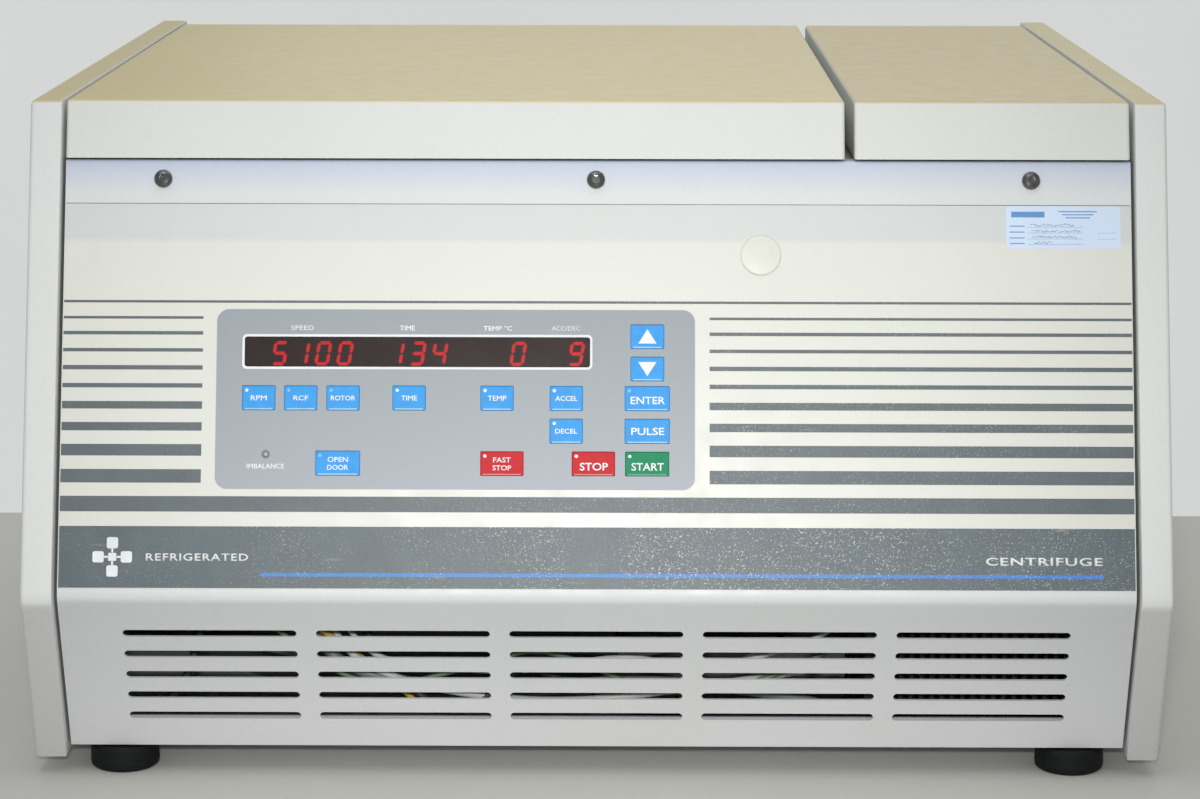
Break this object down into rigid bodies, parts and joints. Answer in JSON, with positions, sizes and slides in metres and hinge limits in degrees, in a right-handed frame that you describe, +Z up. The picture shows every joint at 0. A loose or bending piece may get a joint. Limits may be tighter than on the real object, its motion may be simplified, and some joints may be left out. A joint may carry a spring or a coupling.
{
  "type": "benchtop refrigerated centrifuge",
  "caption": "Benchtop refrigerated centrifuge: sloping control front, flat hinged door beside a fixed cover, swing-out rotor in a cooled steel bowl, rubber feet.",
  "frame": {"origin": "on the bench plane under the centre of the casing's bounding box", "axes": "+Z up, front with the keypad faces -Y, +X to the operator's right"},
  "size_m": [0.65, 0.6284, 0.385],
  "materials": {
    "casing_cream": "fine powder coat",
    "side_moulding": "fine grain",
    "zinc_sheet": "zinc plated",
    "overlay_print": "printed polyester film",
    "keypad_grey": "satin film",
    "key_blue": "satin",
    "key_red": "satin",
    "key_green": "satin",
    "display_tint": "tinted",
    "circuit_board": "glass epoxy",
    "plug_cream": "moulded",
    "foot_rubber": "matte",
    "gasket_rubber": "matte",
    "dark_screw": "blackened",
    "stainless": "brushed",
    "spring_steel": "bright",
    "ring_steel": "primer",
    "copper_tube": "drawn copper",
    "motor_paint": "cast",
    "rotor_alloy": "anodised",
    "compressor_black": "gloss black",
    "black_plastic": "moulded",
    "core_steel": "laminated"
  },
  "bodies": {
    "chassis": {"base_pan": "zinc_sheet", "left_side_panel": "side_moulding", "right_side_panel": "side_moulding", "rear_panel": "casing_cream", "top_deck": "casing_cream", "front_panel": "casing_cream", "panel_overlay": "overlay_print", "keypad_membrane": "keypad_grey", "fixed_top_cover": "casing_cream", "rubber_feet": "foot_rubber", "panel_screws": "dark_screw", "hinge_brackets": "zinc_sheet", "hinge_springs": "spring_steel", "chamber_gasket": "gasket_rubber", "chamber_bowl": "stainless", "barrier_ring": "ring_steel", "evaporator_coil": "copper_tube", "motor_housing": "motor_paint", "motor_mounts": "gasket_rubber", "shaft_bearings": "spring_steel", "compressor": "compressor_black", "condenser": "rotor_alloy", "fan_housing": "black_plastic", "display_window": "display_tint", "display_board": "circuit_board", "drive_board": "circuit_board", "power_inlet": "black_plastic", "latch_solenoid": "zinc_sheet"},
    "door": {"door_shell": "casing_cream", "door_liner": "stainless", "door_strikes": "zinc_sheet", "hinge_arms": "zinc_sheet"},
    "rotor": {"rotor_yoke": "rotor_alloy", "drive_shaft": "spring_steel", "motor_core": "core_steel"},
    "bucket_1": {"bucket_1": "rotor_alloy"},
    "bucket_2": {"bucket_2": "rotor_alloy"},
    "bucket_3": {"bucket_3": "rotor_alloy"},
    "bucket_4": {"bucket_4": "rotor_alloy"},
    "tiedown": {"tiedown_screw": "stainless"},
    "latch": {"latch_shaft": "zinc_sheet"},
    "plunger": {"solenoid_plunger": "spring_steel"},
    "fan": {"fan_blades": "black_plastic"},
    "rocker": {"power_rocker": "black_plastic"},
    "plug": {"access_plug": "plug_cream"},
    "key_rpm": {"key_rpm": "key_blue"},
    "key_rcf": {"key_rcf": "key_blue"},
    "key_rotor": {"key_rotor": "key_blue"},
    "key_time": {"key_time": "key_blue"},
    "key_temp": {"key_temp": "key_blue"},
    "key_accel": {"key_accel": "key_blue"},
    "key_decel": {"key_decel": "key_blue"},
    "key_open_door": {"key_open_door": "key_blue"},
    "key_fast_stop": {"key_fast_stop": "key_red"},
    "key_stop": {"key_stop": "key_red"},
    "key_start": {"key_start": "key_green"},
    "key_pulse": {"key_pulse": "key_blue"},
    "key_enter": {"key_enter": "key_blue"},
    "key_down": {"key_down": "key_blue"},
    "key_up": {"key_up": "key_blue"}
  },
  "joints": [
    {"name": "door_hinge", "type": "hinge", "parent": "chassis", "child": "door", "pos_m": [-0.082, 0.292, 0.362], "axis": [-1, 0, 0], "range_deg": [0, 80]},
    {"name": "rotor_spin", "type": "hinge", "parent": "chassis", "child": "rotor", "pos_m": [-0.082, 0.03, 0.292], "axis": [0, 0, 1], "continuous": true},
    {"name": "bucket_swing_1", "type": "hinge", "parent": "rotor", "child": "bucket_1", "pos_m": [0.018, 0.03, 0.292], "axis": [0, -1, 0], "range_deg": [0, 90]},
    {"name": "bucket_swing_2", "type": "hinge", "parent": "rotor", "child": "bucket_2", "pos_m": [-0.082, 0.13, 0.292], "axis": [1, 0, 0], "range_deg": [0, 90]},
    {"name": "bucket_swing_3", "type": "hinge", "parent": "rotor", "child": "bucket_3", "pos_m": [-0.182, 0.03, 0.292], "axis": [0, 1, 0], "range_deg": [0, 90]},
    {"name": "bucket_swing_4", "type": "hinge", "parent": "rotor", "child": "bucket_4", "pos_m": [-0.082, -0.07, 0.292], "axis": [-1, 0, 0], "range_deg": [0, 90]},
    {"name": "tiedown_turn", "type": "hinge", "parent": "rotor", "child": "tiedown", "pos_m": [-0.082, 0.03, 0.32], "axis": [0, 0, 1], "range_deg": [0, 720]},
    {"name": "latch_turn", "type": "hinge", "parent": "chassis", "child": "latch", "pos_m": [-0.082, -0.22, 0.3], "axis": [-1, 0, 0], "range_deg": [0, 20]},
    {"name": "plunger_slide", "type": "slide", "parent": "chassis", "child": "plunger", "axis": [0, 1, 0], "range_m": [-0.00685, 0]},
    {"name": "fan_spin", "type": "hinge", "parent": "chassis", "child": "fan", "pos_m": [0.225, -0.2, 0.108], "axis": [0, 1, 0], "continuous": true},
    {"name": "rocker_tip", "type": "hinge", "parent": "chassis", "child": "rocker", "pos_m": [0.225, 0.298, 0.105], "axis": [-1, 0, 0], "range_deg": [0, 20]},
    {"name": "plug_pull", "type": "slide", "parent": "chassis", "child": "plug", "axis": [0, -0.9523, 0.3052], "range_m": [0, 0.015]},
    {"name": "key_rpm_press", "type": "slide", "parent": "chassis", "child": "key_rpm", "axis": [0, 0.9523, -0.3052], "range_m": [0, 0.0008], "stiffness_N_per_m": 50},
    {"name": "key_rcf_press", "type": "slide", "parent": "chassis", "child": "key_rcf", "axis": [0, 0.9523, -0.3052], "range_m": [0, 0.0008], "stiffness_N_per_m": 50},
    {"name": "key_rotor_press", "type": "slide", "parent": "chassis", "child": "key_rotor", "axis": [0, 0.9523, -0.3052], "range_m": [0, 0.0008], "stiffness_N_per_m": 50},
    {"name": "key_time_press", "type": "slide", "parent": "chassis", "child": "key_time", "axis": [0, 0.9523, -0.3052], "range_m": [0, 0.0008], "stiffness_N_per_m": 50},
    {"name": "key_temp_press", "type": "slide", "parent": "chassis", "child": "key_temp", "axis": [0, 0.9523, -0.3052], "range_m": [0, 0.0008], "stiffness_N_per_m": 50},
    {"name": "key_accel_press", "type": "slide", "parent": "chassis", "child": "key_accel", "axis": [0, 0.9523, -0.3052], "range_m": [0, 0.0008], "stiffness_N_per_m": 50},
    {"name": "key_decel_press", "type": "slide", "parent": "chassis", "child": "key_decel", "axis": [0, 0.9523, -0.3052], "range_m": [0, 0.0008], "stiffness_N_per_m": 50},
    {"name": "key_open_door_press", "type": "slide", "parent": "chassis", "child": "key_open_door", "axis": [0, 0.9523, -0.3052], "range_m": [0, 0.0008], "stiffness_N_per_m": 50},
    {"name": "key_fast_stop_press", "type": "slide", "parent": "chassis", "child": "key_fast_stop", "axis": [0, 0.9523, -0.3052], "range_m": [0, 0.0008], "stiffness_N_per_m": 50},
    {"name": "key_stop_press", "type": "slide", "parent": "chassis", "child": "key_stop", "axis": [0, 0.9523, -0.3052], "range_m": [0, 0.0008], "stiffness_N_per_m": 50},
    {"name": "key_start_press", "type": "slide", "parent": "chassis", "child": "key_start", "axis": [0, 0.9523, -0.3052], "range_m": [0, 0.0008], "stiffness_N_per_m": 50},
    {"name": "key_pulse_press", "type": "slide", "parent": "chassis", "child": "key_pulse", "axis": [0, 0.9523, -0.3052], "range_m": [0, 0.0008], "stiffness_N_per_m": 50},
    {"name": "key_enter_press", "type": "slide", "parent": "chassis", "child": "key_enter", "axis": [0, 0.9523, -0.3052], "range_m": [0, 0.0008], "stiffness_N_per_m": 50},
    {"name": "key_down_press", "type": "slide", "parent": "chassis", "child": "key_down", "axis": [0, 0.9523, -0.3052], "range_m": [0, 0.0008], "stiffness_N_per_m": 50},
    {"name": "key_up_press", "type": "slide", "parent": "chassis", "child": "key_up", "axis": [0, 0.9523, -0.3052], "range_m": [0, 0.0008], "stiffness_N_per_m": 50}
  ],
  "couplings": [
    {"joint": "bucket_swing_2", "follows": "bucket_swing_1", "ratio": 1},
    {"joint": "bucket_swing_3", "follows": "bucket_swing_1", "ratio": 1},
    {"joint": "bucket_swing_4", "follows": "bucket_swing_1", "ratio": 1},
    {"joint": "plunger_slide", "follows": "latch_turn", "m_per_rad": -0.0196}
  ]
}
